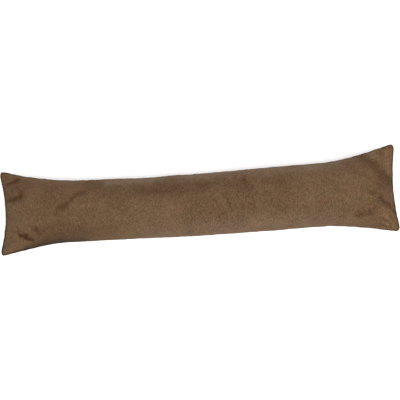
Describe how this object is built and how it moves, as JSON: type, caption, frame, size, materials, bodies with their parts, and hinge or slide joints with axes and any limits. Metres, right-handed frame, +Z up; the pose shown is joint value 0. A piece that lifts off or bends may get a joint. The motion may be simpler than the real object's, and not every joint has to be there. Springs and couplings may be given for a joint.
{
  "type": "draught excluder",
  "caption": "Long stuffed plush bolster laid along the foot of a door to stop draughts, with sides and ends drawn in between four pointed corners.",
  "frame": {"origin": "on the floor, under the middle of the bolster's outline", "axes": "+X along the length, +Y across it, +Z up out of the face that shows"},
  "size_m": [0.9042, 0.1972, 0.1129],
  "materials": {
    "plush": "short-pile brown plush, matt, with a soft sheen where the nap turns away"
  },
  "bodies": {
    "root": {"bolster": "plush"}
  },
  "joints": []
}
